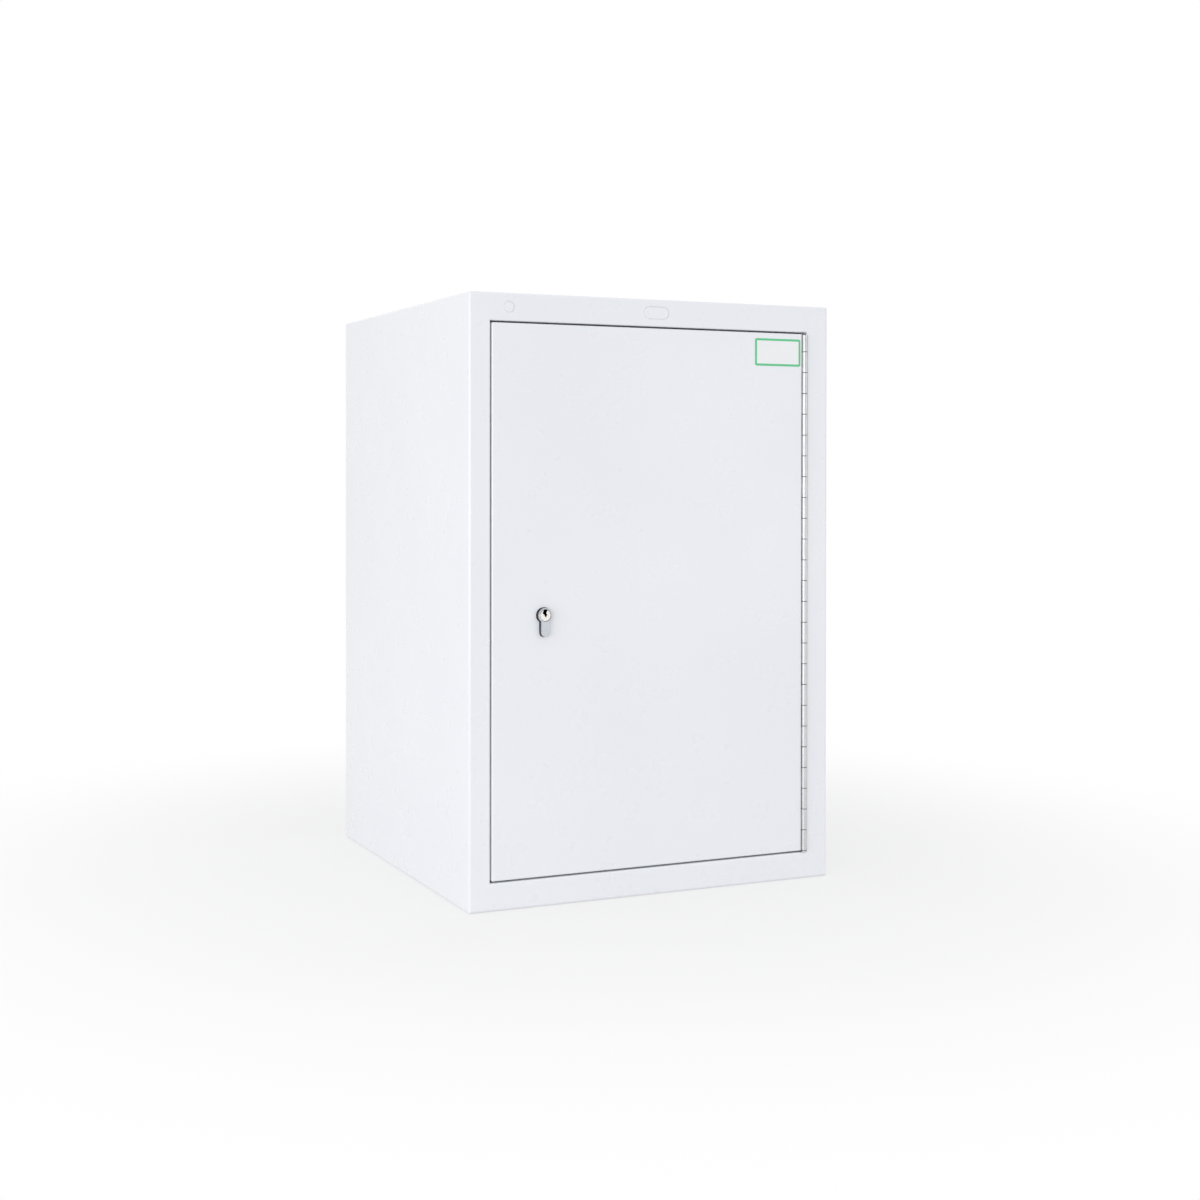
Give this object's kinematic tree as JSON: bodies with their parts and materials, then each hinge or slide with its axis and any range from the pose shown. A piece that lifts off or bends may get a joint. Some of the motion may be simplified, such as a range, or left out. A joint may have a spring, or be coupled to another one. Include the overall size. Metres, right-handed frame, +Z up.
{
  "type": "lockable medicine cabinet",
  "caption": "White steel wall cabinet with an inset door on a full-height hinge, a profile cylinder, bolts that lock the door on the free sides, and loose shelves.",
  "frame": {"origin": "middle of the cabinet's underside, in plan the middle of the body", "axes": "+Z up, +X towards the hinge side, -Y out of the front, +Y to the wall"},
  "size_m": [0.475, 0.4553, 0.7],
  "materials": {
    "white_paint": "semi-gloss powder coat",
    "zinc_plate": "zinc plated",
    "bright_steel": "bright rolled steel",
    "screw_steel": "bright zinc",
    "satin_nickel": "satin nickel",
    "brass": "turned",
    "black_nylon": "moulded",
    "rubber": "matt",
    "label_vinyl": "white with a green border"
  },
  "bodies": {
    "cabinet": {"cabinet_wrap": "white_paint", "back_panel": "white_paint", "wall_fixing_plates": "white_paint", "round_knockout": "white_paint", "slot_knockout": "white_paint", "door_stop_top": "white_paint", "door_stop_bottom": "white_paint", "door_stop_latch": "white_paint", "door_buffers": "rubber", "top_bolt_keeper": "zinc_plate", "bottom_bolt_keeper": "zinc_plate", "side_bolt_keeper": "zinc_plate", "shelf_strip_front_left": "zinc_plate", "shelf_strip_rear_left": "zinc_plate", "shelf_strip_front_right": "zinc_plate", "shelf_strip_rear_right": "zinc_plate", "shelf_clips_low": "zinc_plate", "shelf_clips_middle": "zinc_plate", "shelf_clips_high": "zinc_plate", "hinge_leaf_frame": "bright_steel", "hinge_pin": "bright_steel", "frame_hinge_rivets": "bright_steel"},
    "door": {"door_skin": "white_paint", "door_stiffener_left": "white_paint", "door_stiffener_right": "white_paint", "door_label": "label_vinyl", "hinge_leaf_door": "bright_steel", "door_hinge_rivets": "bright_steel", "lock_spacers": "zinc_plate", "lock_base_plate": "zinc_plate", "lock_cover": "zinc_plate", "lock_screws": "screw_steel", "cylinder_body": "satin_nickel", "driver_pins": "brass", "pin_springs": "zinc_plate", "cylinder_screw": "screw_steel", "gear_axle": "screw_steel", "upper_rod_guide": "black_nylon", "lower_rod_guide": "black_nylon", "guide_screws": "screw_steel"},
    "plug": {"cylinder_plug": "satin_nickel", "cam_gear": "brass", "key_pins": "brass"},
    "drive_gear": {"drive_gear": "zinc_plate", "bolt_pinion": "brass"},
    "upper_rod": {"upper_rod": "zinc_plate"},
    "lower_rod": {"lower_rod": "zinc_plate"},
    "side_bolt": {"side_bolt": "zinc_plate"},
    "shelf_low": {"shelf_low": "white_paint", "shelf_edges_low": "white_paint"},
    "shelf_middle": {"shelf_middle": "white_paint", "shelf_edges_middle": "white_paint"},
    "shelf_high": {"shelf_high": "white_paint", "shelf_edges_high": "white_paint"}
  },
  "joints": [
    {"name": "door_hinge", "type": "hinge", "parent": "cabinet", "child": "door", "pos_m": [0.2046, -0.2253, 0.35], "axis": [0, 0, 1], "range_deg": [0, 175]},
    {"name": "plug_turn", "type": "hinge", "parent": "door", "child": "plug", "pos_m": [-0.1455, -0.22, 0.3335], "axis": [0, 1, 0], "range_deg": [0, 360]},
    {"name": "drive_gear_turn", "type": "hinge", "parent": "door", "child": "drive_gear", "pos_m": [-0.1455, -0.2, 0.36225], "axis": [0, 1, 0], "range_deg": [-100, 0]},
    {"name": "upper_rod_slide", "type": "slide", "parent": "door", "child": "upper_rod", "axis": [0, 0, 1], "range_m": [0, 0.01527]},
    {"name": "lower_rod_slide", "type": "slide", "parent": "door", "child": "lower_rod", "axis": [0, 0, -1], "range_m": [0, 0.01527]},
    {"name": "side_bolt_slide", "type": "slide", "parent": "door", "child": "side_bolt", "axis": [-1, 0, 0], "range_m": [0, 0.01527]},
    {"name": "shelf_low_lift", "type": "slide", "parent": "cabinet", "child": "shelf_low", "axis": [0, 0, 1], "range_m": [0, 0.04]},
    {"name": "shelf_middle_lift", "type": "slide", "parent": "cabinet", "child": "shelf_middle", "axis": [0, 0, 1], "range_m": [0, 0.04]},
    {"name": "shelf_high_lift", "type": "slide", "parent": "cabinet", "child": "shelf_high", "axis": [0, 0, 1], "range_m": [0, 0.04]}
  ],
  "couplings": [
    {"joint": "plug_turn", "follows": "upper_rod_slide", "rad_per_m": 411.43},
    {"joint": "drive_gear_turn", "follows": "upper_rod_slide", "rad_per_m": -114.29},
    {"joint": "lower_rod_slide", "follows": "upper_rod_slide", "ratio": 1},
    {"joint": "side_bolt_slide", "follows": "upper_rod_slide", "ratio": 1}
  ]
}
